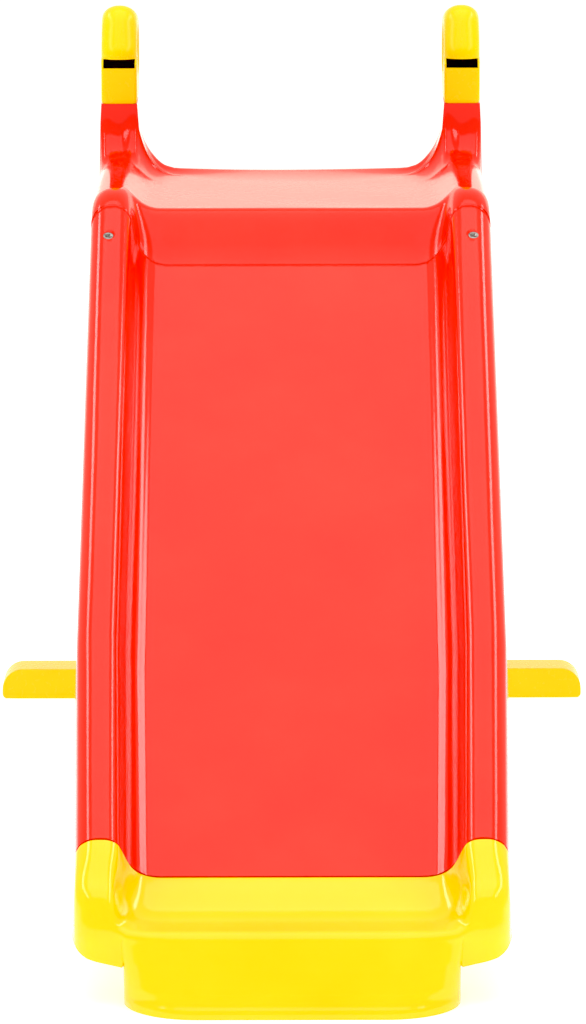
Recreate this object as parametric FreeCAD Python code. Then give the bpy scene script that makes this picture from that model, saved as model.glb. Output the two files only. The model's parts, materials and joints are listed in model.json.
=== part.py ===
import math
import os

import FreeCAD
import Part

# Toddler's straight slide, millimetres.
# +Z is up and the floor is Z = 0. The child slides towards -Y. X = 0 is the plane of symmetry.
# Distances "from the lip" run backwards from the front edge of the exit, where Y = -LENGTH / 2.

# Overall
LENGTH = 1356.0
WALL = 3.5                  # moulded wall thickness
GAP = 0.3                   # clearance between separate mouldings
LOWER_LAP = 45.0            # how far the exit section reaches under the chute
UPPER_LAP = 58.0            # how far the platform section reaches under the chute

# Chute channel, measured square to the sliding bed
RAIL_HALF = 194.0           # outer shoulder of the rail, from the centre
RAIL_INNER = 159.5          # inner shoulder of the rail
BED_HALF = 144.0            # foot of the inner wall
RAIL_HEIGHT = 48.5          # rail top above the bed
SKIRT_HALF = 197.5          # lower edge of the skirt, flared by the mould's draft
SKIRT_DROP = 28.0           # lower edge of the skirt below the bed
OUTER_ROUND = 20.0
INNER_ROUND = 16.0
BED_ROUND = 32.0
TAPER = 5.5                 # how much narrower each side is at the exit
TAPER_LENGTH = 250.0        # the lower part of the chute that narrows

# Side profile, from the lip
BED_START = (129.0, 96.0)
BED_TOP = (824.0, 540.0)
UPPER_SEAM = BED_TOP[0]
DROP_FOOT = 10.0            # from the seam, along the bed, to the foot of the drop from the deck
DECK_FRONT = 858.0
DECK_HEIGHT = 588.0
DECK_BACK = 1140.0
DECK_RAIL = 609.0           # top of the level rails beside the deck
DECK_FLANGE = 30.0          # how far the deck's back edge turns down
RAIL_KNEE = 842.0           # where the rails turn level

# Exit
EXIT_EDGE = (36.0, 68.0)
EXIT_FLAT = (72.0, 70.0)
EXIT_ROUNDS = [3.0, 8.0, 12.0, 60.0, 60.0]
APRON_FOOT = (5.0, 19.0)
RIM_HEIGHT = 14.0
APRON_HALF = 147.0
APRON_BACK = 125.0
APRON_ROOF_RISE = 0.25      # the apron's sides rise this much for each millimetre back
FOOT_FLANGE = (1.0, 14.0)   # the flat strip on the floor inside the apron's front
RAIL_END = 35.0             # front face of the rail ends
RAIL_END_ROUND = 4.0
RAIL_END_FLOOR = (36.0, 0.3)    # the rail ends' lower edge: its height at the lip, and its rise

# Horns and handles
HORN_CENTRE = 174.5
HORN_WIDTH = 36.5
HORN_FRONT = 1112.0
HORN_DEPTH = 53.0
HORN_FOOT_DEPTH = 73.0
HORN_TOP = 662.0
HORN_BOTTOM = 507.0
HORN_STEP = 600.0           # below this the horn reaches further back, round the leaning post
HORN_ROUND = 4.0
SWEEP = 28.0                # radius of the sweep from the rail up into the horn
SWEEP_REACH = 60.0          # how far that sweep and the cove run along the rail and deck
COVE = 42.0                 # radius between the deck and the horn
HANDLE_TOP = 763.0          # above the nose
HANDLE_REAR = 752.0         # the grip slopes down to the back
HANDLE_BACK = 1232.0
SLOT_BOTTOM = 698.0
SLOT_HEIGHT = 9.0
SLOT_WIDTH = 32.0
SLOT_DEPTH = 14.0
INSERT_SET_BACK = 3.0       # the black insert's face, behind the handle's front

# Ladder
POST_WIDTH = 28.9
POST_DEPTH = 26.0
POST_WALL = 3.0
POST_FRONT_FOOT = (1324.0, 3.0)
POST_FRONT_TOP = (1116.0, 636.0)
TREAD_TOPS = {"lower": 150.0, "middle": 295.0, "upper": 440.0}
TREAD_DEPTH = 90.0
TREAD_HEIGHT = 24.0
TREAD_ROUND = 9.0
BOSS_LENGTH = 18.0          # how far a tread's screw bosses reach in from its end
BOSS_RADIUS = 5.0
TREAD_SCREW_HALF = 6.0      # the two screws are this far either side of the post's centre
BAR_LENGTH = 618.0
BAR_DEPTH = 46.0
BAR_HEIGHT = 32.0
BAR_ROUND = 22.0
BAR_EDGE_ROUND = 5.0

# Fasteners
SCREW_RADIUS = 2.5
BOLT_RADIUS = 3.0
HOLE_CLEARANCE = 0.2
HEAD_RADIUS = 5.0
HEAD_HEIGHT = 3.0
HEAD_ROUND = 1.8
SHANK_ROOM = 90.0           # how far a screw's hole is taken through the pieces
BOSS_WALL = 3.0             # plastic round a screw
NUT_RADIUS = 5.8            # to its corners
NUT_HEIGHT = 5.0

# Cutting helpers
FAR = 1000.0                # clear of the whole slide
BURIED = 0.5                # how far a wall runs into its neighbour before they are joined
SEARCH_ROOM = 16.0          # edges this far above the rail ends' lower edge are rounded

X = FreeCAD.Vector(1, 0, 0)
FORWARD = FreeCAD.Vector(0, -1, 0)
ORIGIN = FreeCAD.Vector(0, 0, 0)
SLOPE = math.atan2(BED_TOP[1] - BED_START[1], BED_TOP[0] - BED_START[0])
LEAN = math.atan2(POST_FRONT_FOOT[0] - POST_FRONT_TOP[0], POST_FRONT_TOP[1] - POST_FRONT_FOOT[1])


def at(x, from_lip, z):
    """A point of the slide."""
    return FreeCAD.Vector(x, from_lip - LENGTH / 2, z)


DOWNHILL = FreeCAD.Vector(0, -math.cos(SLOPE), -math.sin(SLOPE))
BED_NORMAL = FreeCAD.Vector(0, -math.sin(SLOPE), math.cos(SLOPE))


def on_slope(x, along, above):
    """A point along the bed from its lower seam, and above it square to the bed."""
    return at(x, *BED_START) - DOWNHILL * along + BED_NORMAL * above


def along_bed(from_lip):
    """How far up the bed a distance from the lip is."""
    return (from_lip - BED_START[0]) / math.cos(SLOPE)


def mirrored(shape):
    return shape.mirror(ORIGIN, X)


def both_sides(shape):
    return shape.fuse(mirrored(shape))


def pair(shape):
    return Part.makeCompound([shape, mirrored(shape)])


def box(x, from_lip, z):
    """A box between two values on each axis."""
    corner = at(x[0], from_lip[0], z[0])
    return Part.makeBox(x[1] - x[0], from_lip[1] - from_lip[0], z[1] - z[0], corner)


def offset_outline(points, depth):
    """The same open outline, moved to the right of its travel."""
    lines = []
    for (a, b), (c, d) in zip(points, points[1:]):
        length = math.hypot(c - a, d - b)
        side = ((d - b) / length * depth, -(c - a) / length * depth)
        lines.append(((a + side[0], b + side[1]), ((c - a) / length, (d - b) / length)))
    moved = [lines[0][0]]
    for (p, u), (q, v) in zip(lines, lines[1:]):
        turn = u[0] * v[1] - u[1] * v[0]
        reach = ((q[0] - p[0]) * v[1] - (q[1] - p[1]) * v[0]) / turn
        moved.append((p[0] + u[0] * reach, p[1] + u[1] * reach))
    end, last = points[-1], lines[-1][1]
    moved.append((end[0] + last[1] * depth, end[1] - last[0] * depth))
    return moved


def outline_edges(points, rounds, place):
    """Lines through the points with their corners rounded; place(u, v) gives the point in space."""
    edges = []
    start = points[0]
    for before, corner, after, radius in zip(points, points[1:], points[2:], rounds):
        arrive = FreeCAD.Vector(corner[0] - before[0], corner[1] - before[1], 0).normalize()
        leave = FreeCAD.Vector(after[0] - corner[0], after[1] - corner[1], 0).normalize()
        half = arrive.getAngle(leave) / 2
        if radius == 0:
            edges.append(Part.makeLine(place(*start), place(*corner)))
            start = corner
            continue
        reach = radius * math.tan(half)
        inward = (leave - arrive).normalize() * (radius / math.cos(half) - radius)
        first = (corner[0] - arrive.x * reach, corner[1] - arrive.y * reach)
        middle = (corner[0] + inward.x, corner[1] + inward.y)
        last = (corner[0] + leave.x * reach, corner[1] + leave.y * reach)
        edges.append(Part.makeLine(place(*start), place(*first)))
        edges.append(Part.Arc(place(*first), place(*middle), place(*last)).toShape())
        start = last
    edges.append(Part.makeLine(place(*start), place(*points[-1])))
    return edges


def skin_face(points, rounds, place, depth=0.0):
    """The cut face of one moulded wall whose outer surface lies a depth below the outline."""
    sections = []
    for level in (depth, depth + WALL):
        moved = offset_outline(points, level)
        changed = [turned_radius(*corner, level) for corner in zip(points, points[1:], points[2:], rounds)]
        sections.append((moved, changed))
    (outer, outer_rounds), (inner, inner_rounds) = sections
    edges = outline_edges(outer, outer_rounds, place)
    edges.append(Part.makeLine(place(*outer[-1]), place(*inner[-1])))
    edges += outline_edges(inner, inner_rounds, place)
    edges.append(Part.makeLine(place(*inner[0]), place(*outer[0])))
    return Part.Face(Part.Wire(Part.__sortEdges__(edges)))


def turned_radius(before, corner, after, radius, level):
    """A corner's radius on the outline moved to the right: smaller round a right turn."""
    if radius == 0:
        return 0
    arrive = (corner[0] - before[0], corner[1] - before[1])
    leave = (after[0] - corner[0], after[1] - corner[1])
    turn = arrive[0] * leave[1] - arrive[1] * leave[0]
    return max(radius + math.copysign(level, turn), 0.5)


def solid_face(points, rounds, place):
    """A filled face inside an outline that is closed from its last point to its first."""
    edges = outline_edges(points, rounds, place)
    edges.append(Part.makeLine(place(*points[-1]), place(*points[0])))
    return Part.Face(Part.Wire(Part.__sortEdges__(edges)))


def side_strip(points, rounds, half_width, depth=0.0):
    """A moulded wall that follows a side profile across the slide."""
    face = skin_face(points, rounds, lambda y, z: at(-half_width, y, z), depth)
    return face.extrude(X * 2 * half_width)


RAIL_PATH = [
    (-SKIRT_HALF, -SKIRT_DROP), (-RAIL_HALF, RAIL_HEIGHT), (-RAIL_INNER, RAIL_HEIGHT), (-BED_HALF, 0),
]
RAIL_ROUNDS = [OUTER_ROUND, INNER_ROUND]
CHANNEL_PATH = RAIL_PATH + [(-x, above) for x, above in reversed(RAIL_PATH)]
CHANNEL_ROUNDS = RAIL_ROUNDS + [BED_ROUND, BED_ROUND] + RAIL_ROUNDS[::-1]


def narrowing(along):
    """How much narrower each side of the chute is, a distance up the slope."""
    return TAPER * max(1 - along / TAPER_LENGTH, 0)


def narrowed(path, amount):
    return [(x - math.copysign(amount, x), above) for x, above in path]


def channel(low, high, depth=0.0):
    """The chute's whole cross-section, drawn up the slope from low to high."""
    stations = [low] + [along for along in [TAPER_LENGTH] if low < along < high] + [high]
    sections = []
    for along in stations:
        path = narrowed(CHANNEL_PATH, narrowing(along))
        face = skin_face(path, CHANNEL_ROUNDS, lambda x, above: on_slope(x, along, above), depth)
        sections.append(face.OuterWire)
    lengths = [Part.makeLoft(list(ends), True, True) for ends in zip(sections, sections[1:])]
    return lengths[0].fuse(lengths[1:]) if len(lengths) > 1 else lengths[0]


def rail(low, high, depth=0.0):
    """The two rails only, drawn up the slope above the narrowing part."""
    face = skin_face(RAIL_PATH, RAIL_ROUNDS, lambda x, above: on_slope(x, low, above), depth)
    return both_sides(face.extrude(DOWNHILL * (low - high)))


def between(front, back):
    """Everything between two vertical planes across the slide."""
    return box((-FAR / 2, FAR / 2), (front, back), (-FAR / 2, FAR))


def ahead_of(from_lip):
    """Everything in front of a vertical plane."""
    return between(-FAR, from_lip)


def behind(from_lip):
    """Everything behind a vertical plane."""
    return between(from_lip, 2 * FAR)


def across(x, from_lip, z, radius, length):
    """A round bar along +X that starts at x."""
    return Part.makeCylinder(radius, length, at(x, from_lip, z), X)


def along_axis(start, axis, radius, length):
    return Part.makeCylinder(radius, length, start, axis)


def pan_screw(seat, axis, length, radius=SCREW_RADIUS):
    """A domed head whose underside is at seat, and a shank along axis."""
    head = Part.makeCylinder(HEAD_RADIUS, HEAD_HEIGHT, seat - axis * HEAD_HEIGHT, axis)
    rim = [edge for edge in head.Edges if is_outer_rim(edge, seat, axis)]
    return head.makeFillet(HEAD_ROUND, rim).fuse(along_axis(seat, axis, radius, length))


def is_outer_rim(edge, seat, axis):
    """Whether an edge is the circle on the far side of a screw head."""
    middle = edge.BoundBox.Center - seat
    return len(edge.Vertexes) == 1 and middle.dot(axis) < -HEAD_HEIGHT / 2


def flat_screw(top, axis, length):
    """A countersunk screw whose flat head is at top."""
    head = Part.makeCone(HEAD_RADIUS, SCREW_RADIUS, HEAD_RADIUS - SCREW_RADIUS, top, axis)
    return head.fuse(along_axis(top, axis, SCREW_RADIUS, length))


def countersink(top, axis, sink=0.0):
    """The hole for a countersunk screw, sunk a little under the surface."""
    grown = HEAD_RADIUS + HOLE_CLEARANCE
    cone = Part.makeCone(grown, SCREW_RADIUS + HOLE_CLEARANCE, HEAD_RADIUS - SCREW_RADIUS, top, axis)
    mouth = Part.makeCone(grown + sink + 1, grown, sink + 1, top - axis * (sink + 1), axis)
    shank = along_axis(top, axis, SCREW_RADIUS + HOLE_CLEARANCE, SHANK_ROOM)
    return cone.fuse([mouth, shank])


# Screws through the rail tops at the upper seam, square to the rail
RAIL_SCREW_X = 177.0
RAIL_SCREW_Y = 812.0
RAIL_SCREW_SINK = 1.0
RAIL_SCREW_LENGTH = 16.0
RAIL_BOSS_LENGTH = 13.0
RAIL_SCREW_TOP = on_slope(RAIL_SCREW_X, along_bed(RAIL_SCREW_Y), RAIL_HEIGHT - RAIL_SCREW_SINK)


def rail_screw():
    return flat_screw(RAIL_SCREW_TOP, BED_NORMAL * -1, RAIL_SCREW_LENGTH)


# Screws through the skirts into the exit section
EXIT_SCREW_SPOTS = [(12.0, 22.0), (32.0, 6.0)]      # up the slope, above the bed
EXIT_SCREW_SINK = 0.6
EXIT_SCREW_LENGTH = 12.0
EXIT_BOSS_LENGTH = 8.0


def skirt_x(along, above):
    """The outer face of the skirt at a place up the slope and above the bed."""
    share = (RAIL_HEIGHT - above) / (RAIL_HEIGHT + SKIRT_DROP)
    return RAIL_HALF + (SKIRT_HALF - RAIL_HALF) * share - narrowing(along)


def exit_screw_tops():
    return [on_slope(skirt_x(*spot) - EXIT_SCREW_SINK, *spot) for spot in EXIT_SCREW_SPOTS]


def exit_screws():
    screws = [flat_screw(top, X * -1, EXIT_SCREW_LENGTH) for top in exit_screw_tops()]
    return Part.makeCompound(screws + [mirrored(screw) for screw in screws])


def screw_boss(start, axis, length):
    """The thicker plastic a screw bites into."""
    return along_axis(start, axis, SCREW_RADIUS + BOSS_WALL, length)


def screw_hole(start, axis):
    """The hole for a screw's shank in the piece under its head."""
    return along_axis(start, axis, SCREW_RADIUS + HOLE_CLEARANCE, SHANK_ROOM / 4)


def chute_section():
    shape = channel(0, along_bed(UPPER_SEAM) + UPPER_LAP).common(ahead_of(UPPER_SEAM))
    holes = [countersink(RAIL_SCREW_TOP, BED_NORMAL * -1, RAIL_SCREW_SINK)]
    holes += [countersink(top, X * -1, EXIT_SCREW_SINK) for top in exit_screw_tops()]
    return shape.cut(holes + [mirrored(hole) for hole in holes])


# Exit section
def exit_profile():
    """Side profile of the run-out and apron, from the foot of the rim up to the tongue."""
    depth = WALL + GAP
    joint = on_slope(0, -2, -depth)
    tongue = on_slope(0, LOWER_LAP, -depth)
    points = [(0, 0), (0, RIM_HEIGHT), APRON_FOOT, EXIT_EDGE, EXIT_FLAT]
    return points + [(point.y + LENGTH / 2, point.z) for point in (joint, tongue)]


def apron_block(depth):
    """The apron filled to the floor; a block set in by one wall is what hollows it."""
    foot, rim, face_foot, edge, flat = offset_outline(exit_profile(), depth)[:5]
    rounds = [max(radius - depth, 0.5) for radius in EXIT_ROUNDS[:3]]
    back = APRON_BACK + (SHANK_ROOM if depth else 0)
    roof = (back, flat[1] + (back - flat[0]) * APRON_ROOF_RISE)
    points = [(foot[0], -depth), rim, face_foot, edge, flat, roof, (back, -depth)]
    face = solid_face(points, rounds + [0, 0], lambda y, z: at(-APRON_HALF + depth, y, z))
    return face.extrude(X * 2 * (APRON_HALF - depth))


def rail_end_block(depth):
    """One rail end filled solid; a block set in by one wall is what hollows it."""
    path = offset_outline(narrowed(RAIL_PATH, TAPER), depth)
    rounds = [max(radius - depth, 0.5) for radius in RAIL_ROUNDS]
    points = path + [(-APRON_HALF - depth, -SKIRT_DROP)]
    face = solid_face(points, rounds + [0], lambda x, above: on_slope(x, 0, above))
    front = RAIL_END + depth - WALL - GAP
    block = face.extrude(DOWNHILL * BED_START[0] * 1.5).common(behind(front))
    return block.common(above_slant(RAIL_END_FLOOR[0] - depth, RAIL_END_FLOOR[1]))


def above_slant(height, rise):
    """Everything above a plane that is at a height over the lip and rises towards the back."""
    outline = [(0, height), (FAR, height + FAR * rise), (0, height + FAR)]
    return solid_face(outline, [0], lambda y, z: at(-FAR / 2, y, z)).extrude(X * FAR)


def exit_section():
    depth = WALL + GAP
    apron = apron_block(0).cut(apron_block(WALL))
    ends = rail_end_block(depth)
    front = [edge for edge in ends.Edges if edge.BoundBox.YMax < at(0, RAIL_END + 0.01, 0).y]
    upper = [edge for edge in front if edge.BoundBox.ZMax > RAIL_END_FLOOR[0] + SEARCH_ROOM]
    ends = ends.makeFillet(RAIL_END_ROUND, upper).cut(rail_end_block(depth + WALL))
    run_out = side_strip(exit_profile()[3:], EXIT_ROUNDS[3:], RAIL_INNER - TAPER - WALL / 2)
    flange = box((-APRON_HALF + 1, APRON_HALF - 1), FOOT_FLANGE, (0, WALL))
    shape = apron.fuse([both_sides(ends), channel(-1, LOWER_LAP, depth), run_out, flange])
    starts = [top - X * (depth + BURIED) for top in exit_screw_tops()]
    bosses = [screw_boss(start, X * -1, EXIT_BOSS_LENGTH) for start in starts]
    holes = [screw_hole(top, X * -1) for top in exit_screw_tops()]
    shape = shape.fuse(bosses + [mirrored(boss) for boss in bosses])
    return shape.cut(holes + [mirrored(hole) for hole in holes]).removeSplitter()


# Platform section
def deck_profile():
    """Side profile of the deck, from the tongue up the drop and back to the rear flange."""
    depth = WALL + GAP
    foot = on_slope(0, along_bed(UPPER_SEAM) + DROP_FOOT, -depth)
    tongue = on_slope(0, along_bed(UPPER_SEAM) - UPPER_LAP, -depth)
    lower = [(point.y + LENGTH / 2, point.z) for point in (tongue, foot)]
    deck = [(DECK_FRONT, DECK_HEIGHT), (DECK_BACK, DECK_HEIGHT), (DECK_BACK, DECK_HEIGHT - DECK_FLANGE)]
    return lower + deck


LEVEL_PATH = [
    (-SKIRT_HALF, HORN_BOTTOM), (-RAIL_HALF, DECK_RAIL),
    (-RAIL_INNER - 4, DECK_RAIL), (-BED_HALF + 4, DECK_HEIGHT),
]


def level_rails():
    """Rails, skirts and deck edges beside the level deck."""
    path = LEVEL_PATH + [(-x, z) for x, z in reversed(LEVEL_PATH)]
    rounds = [OUTER_ROUND, INNER_ROUND, BED_ROUND, BED_ROUND, INNER_ROUND, OUTER_ROUND]
    face = skin_face(path, rounds, lambda x, z: at(x, RAIL_KNEE, z))
    rails = face.extrude(FORWARD * (RAIL_KNEE - HORN_FRONT - BURIED * 4))
    strip_y, strip_z = (RAIL_KNEE - 1, DECK_FRONT + 12), (DECK_HEIGHT - 6, DECK_HEIGHT + 1)
    return rails.cut(box((-BED_HALF, BED_HALF), strip_y, strip_z))


def horn_channel(low, high, depth):
    """A channel, open at the back, that takes the top of a ladder post."""
    outer = HORN_CENTRE + HORN_WIDTH / 2
    inner = HORN_CENTRE - HORN_WIDTH / 2
    back = HORN_FRONT + depth
    path = [(outer, back), (outer, HORN_FRONT), (inner, HORN_FRONT), (inner, back)]
    face = skin_face(path, [HORN_ROUND, HORN_ROUND], lambda x, y: at(x, y, low))
    return face.extrude(FreeCAD.Vector(0, 0, high - low))


def horn():
    """The horn with the sweeps that lead into it from the rail and from the deck."""
    inner = HORN_CENTRE - HORN_WIDTH / 2
    tall = horn_channel(HORN_STEP - 1, HORN_TOP, HORN_DEPTH)
    foot = horn_channel(HORN_BOTTOM, HORN_STEP, HORN_FOOT_DEPTH)
    corner = HORN_ROUND
    top = HORN_TOP - 2 * corner
    ramp_path = [(HORN_FRONT - SWEEP_REACH, DECK_RAIL), (HORN_FRONT, DECK_RAIL), (HORN_FRONT, top)]
    cove_path = [(inner - SWEEP_REACH, DECK_HEIGHT), (inner, DECK_HEIGHT), (inner, top)]
    ramp = skin_face(ramp_path, [SWEEP], lambda y, z: at(inner + corner, y, z))
    cove = skin_face(cove_path, [COVE], lambda x, z: at(x, HORN_FRONT + corner, z))
    ramp = ramp.extrude(X * (HORN_WIDTH - 2 * corner))
    cove = cove.extrude(FORWARD * (HORN_FRONT + corner - DECK_BACK))
    return tall.fuse([foot, ramp, cove])


DECK_ROUNDS = [40.0, 30.0, 8.0]
COLLAR = 8.0                # the thick band that joins the platform's tongue to its rails
LADDER_BOLT_HEIGHTS = (530.0, 565.0)


def platform_section():
    depth = WALL + GAP
    seam = along_bed(UPPER_SEAM)
    low, high = seam - UPPER_LAP, seam + UPPER_LAP
    tongue = rail(low, seam + COLLAR, depth).common(ahead_of(UPPER_SEAM + COLLAR - BURIED))
    collar = rail(low, high).fuse(rail(low, high, WALL - GAP))
    collar = collar.common(between(UPPER_SEAM + GAP, UPPER_SEAM + COLLAR))
    slope = rail(low, high).common(between(UPPER_SEAM + GAP, RAIL_KNEE + BURIED))
    deck = side_strip(deck_profile(), DECK_ROUNDS, BED_HALF - BURIED * 2)
    shape = deck.fuse([tongue, collar, slope, level_rails(), both_sides(horn())])
    start = RAIL_SCREW_TOP - BED_NORMAL * (depth + BURIED)
    boss = screw_boss(start, BED_NORMAL * -1, RAIL_BOSS_LENGTH)
    shape = shape.fuse([boss, mirrored(boss)])
    holes = [screw_hole(RAIL_SCREW_TOP, BED_NORMAL * -1)]
    holes += [ladder_bolt_hole(height) for height in LADDER_BOLT_HEIGHTS]
    holes.append(handle_screw_hole())
    return shape.cut(holes + [mirrored(hole) for hole in holes]).removeSplitter()


# Handles
HANDLE_HOLE = {"y": (1143.0, 1205.0), "z": (687.0, 727.0), "round": 18.0}
TENON = {"y": (HORN_FRONT + WALL + GAP, 1157.0), "z": (638.5, HORN_TOP)}
HANDLE_SCREW = (1137.0, 650.0)
HANDLE_SCREW_SINK = 0.3
HANDLE_SCREW_LENGTH = 18.0
HANDLE_ROUNDS = [20.0, 22.0, 22.0, 22.0, 6.0]
GRIP_ROUND = 9.0


def handle_loop():
    """The grip: an upright nose above the horn, a bar over the hand hole and a post behind it."""
    inner = HORN_CENTRE - HORN_WIDTH / 2
    outline = [
        (HORN_FRONT, HORN_TOP), (HORN_FRONT, SLOT_BOTTOM + 2 * SLOT_HEIGHT), (HORN_FRONT + 24, HANDLE_TOP),
        (HANDLE_BACK - 16, HANDLE_REAR), (HANDLE_BACK, SLOT_BOTTOM),
        (HORN_FRONT + HORN_DEPTH + 26, HORN_TOP + 6), (HORN_FRONT + HORN_DEPTH, HORN_TOP),
    ]
    face = solid_face(outline, HANDLE_ROUNDS, lambda y, z: at(inner, y, z))
    loop = face.extrude(X * HORN_WIDTH)
    (front, back), (low, high), radius = HANDLE_HOLE["y"], HANDLE_HOLE["z"], HANDLE_HOLE["round"]
    middle = (front + back) / 2
    ring = [(middle - 1, low), (front, low), (front, high), (back, high), (back, low), (middle + 1, low)]
    hole = solid_face(ring, [radius] * 4, lambda y, z: at(0, y, z)).extrude(X * FAR)
    return loop.cut(hole)


def handle():
    loop = handle_loop()
    rim = [edge for edge in loop.Edges if is_soft_rim(edge)]
    loop = loop.makeFillet(GRIP_ROUND, rim)
    half = SLOT_WIDTH / 2
    slot = box((HORN_CENTRE - half, HORN_CENTRE + half), (HORN_FRONT - 1, HORN_FRONT + SLOT_DEPTH),
               (SLOT_BOTTOM, SLOT_BOTTOM + SLOT_HEIGHT))
    half = POST_WIDTH / 2
    tenon = box((HORN_CENTRE - half, HORN_CENTRE + half), TENON["y"], (TENON["z"][0], HORN_TOP + 2))
    return loop.fuse(tenon).cut([slot, handle_screw_hole()]).removeSplitter()


def is_soft_rim(edge):
    """Whether an edge runs over the top of the grip, in one of its two side faces."""
    bounds = edge.BoundBox
    over_slot = bounds.ZMin > SLOT_BOTTOM + SLOT_HEIGHT + 2
    over_hole = bounds.ZMax > HANDLE_HOLE["z"][1] + 2
    return bounds.XLength < 0.01 and over_slot and over_hole


def handle_insert():
    """The black plug that fills the back of the handle's slot."""
    half = SLOT_WIDTH / 2 - GAP
    slot_y = (HORN_FRONT + INSERT_SET_BACK, HORN_FRONT + SLOT_DEPTH)
    slot_z = (SLOT_BOTTOM + GAP, SLOT_BOTTOM + SLOT_HEIGHT - GAP)
    return box((HORN_CENTRE - half, HORN_CENTRE + half), slot_y, slot_z)


def handle_screw_top():
    return at(HORN_CENTRE + HORN_WIDTH / 2 - HANDLE_SCREW_SINK, *HANDLE_SCREW)


def handle_screw_hole():
    """Through the horn's outer wall and into the handle's foot, but not out of its inner side."""
    hole = countersink(handle_screw_top(), X * -1, HANDLE_SCREW_SINK)
    return hole.common(box((HORN_CENTRE - POST_WIDTH / 2 + WALL, FAR), (0, 2 * FAR), (0, FAR)))


def handle_screw():
    return flat_screw(handle_screw_top(), X * -1, HANDLE_SCREW_LENGTH)


# Ladder
def post_centre(z):
    """Distance of a post's centre line from the lip, at a height."""
    front = POST_FRONT_FOOT[0] - (z - POST_FRONT_FOOT[1]) * math.tan(LEAN)
    return front + POST_DEPTH / math.cos(LEAN) / 2


def post_block(shrink):
    """A leaning post as a solid bar, made smaller all round by shrink."""
    half_y = (POST_DEPTH - 2 * shrink) / math.cos(LEAN) / 2
    half_x = POST_WIDTH / 2 - shrink
    beyond = 5 if shrink > 0 else 0
    low, high = POST_FRONT_FOOT[1] - beyond, POST_FRONT_TOP[1] + beyond
    outline = [(post_centre(low) - half_y, low), (post_centre(high) - half_y, high),
               (post_centre(high) + half_y, high), (post_centre(low) + half_y, low)]
    face = solid_face(outline, [0, 0], lambda y, z: at(HORN_CENTRE - half_x, y, z))
    return face.extrude(X * 2 * half_x)


def ladder_bolt_hole(height):
    """Through both walls of the horn and of the post."""
    start = HORN_CENTRE - HORN_WIDTH
    return across(start, post_centre(height), height, BOLT_RADIUS + HOLE_CLEARANCE, 2 * HORN_WIDTH)


def through_post(from_lip, z):
    """The hole a tread's screw passes through."""
    start = HORN_CENTRE - POST_WIDTH
    return across(start, from_lip, z, SCREW_RADIUS + HOLE_CLEARANCE, 2 * POST_WIDTH)


def ladder_side():
    shape = post_block(0).cut(post_block(POST_WALL))
    holes = [ladder_bolt_hole(height) for height in LADDER_BOLT_HEIGHTS]
    holes += [through_post(y, z) for y, z in tread_screw_spots()]
    holes.append(foot_screw_hole())
    return shape.cut(holes)


def ladder_bolt(height):
    head_seat = at(HORN_CENTRE + HORN_WIDTH / 2, post_centre(height), height)
    return pan_screw(head_seat, X * -1, HORN_WIDTH + NUT_HEIGHT + BOLT_RADIUS, BOLT_RADIUS)


def ladder_nut(height):
    """A hexagon nut against the inner wall of the horn."""
    start = HORN_CENTRE - HORN_WIDTH / 2 - NUT_HEIGHT
    middle = at(start, post_centre(height), height)
    turns = [math.radians(60 * side) for side in range(7)]
    corners = [middle + FreeCAD.Vector(0, math.cos(t), math.sin(t)) * NUT_RADIUS for t in turns]
    nut = Part.Face(Part.makePolygon(corners)).extrude(X * NUT_HEIGHT)
    bore = across(start - 1, post_centre(height), height, BOLT_RADIUS + 0.1, NUT_HEIGHT + 2)
    return nut.cut(bore)


def tread_screw_spots():
    """Each tread has two screws at each end, side by side."""
    spots = []
    for top in TREAD_TOPS.values():
        z = top - TREAD_HEIGHT / 2
        spots += [(post_centre(z) - TREAD_SCREW_HALF, z), (post_centre(z) + TREAD_SCREW_HALF, z)]
    return spots


def tread(top):
    """A hollow step with a rounded nose, open underneath, with bosses for its end screws."""
    half_length = HORN_CENTRE - POST_WIDTH / 2
    middle = post_centre(top - TREAD_HEIGHT / 2)
    low, front, back = top - TREAD_HEIGHT, middle - TREAD_DEPTH / 2, middle + TREAD_DEPTH / 2
    outline = [(front, low), (front, top), (back, top), (back, low)]
    shape = side_strip(outline, [TREAD_ROUND, TREAD_ROUND], half_length)
    end = box((half_length - WALL, half_length), (front + 2, back - 2), (low, top - 2))
    spots = [(y, z) for y, z in tread_screw_spots() if low < z < top]
    start = half_length - BOSS_LENGTH
    bosses = [across(start, y, z, BOSS_RADIUS, BOSS_LENGTH - 2) for y, z in spots]
    web_y = (middle - TREAD_SCREW_HALF, middle + TREAD_SCREW_HALF)
    web = box((start, half_length - 1), web_y, (low + TREAD_HEIGHT / 3, top - 2))
    side = end.fuse(bosses + [web])
    holes = [across(start - 1, y, z, SCREW_RADIUS + HOLE_CLEARANCE, 2 * BOSS_LENGTH) for y, z in spots]
    return shape.fuse(both_sides(side)).cut(holes + [mirrored(hole) for hole in holes]).removeSplitter()


def tread_screws():
    seat = HORN_CENTRE + POST_WIDTH / 2
    screws = [pan_screw(at(seat, y, z), X * -1, POST_WIDTH + 14) for y, z in tread_screw_spots()]
    return Part.makeCompound(screws)


FOOT_SCREW_HEIGHT = 17.0
FOOT_SCREW_SINK = 0.3
FOOT_SCREW_LENGTH = 17.0


def foot_screw_top():
    return at(HORN_CENTRE, LENGTH - FOOT_SCREW_SINK, FOOT_SCREW_HEIGHT)


def foot_screw_hole():
    """Through the back of the foot bar and the back wall of the post."""
    hole = countersink(foot_screw_top(), FORWARD, FOOT_SCREW_SINK)
    return hole.common(behind(LENGTH - BAR_DEPTH / 2))


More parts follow.
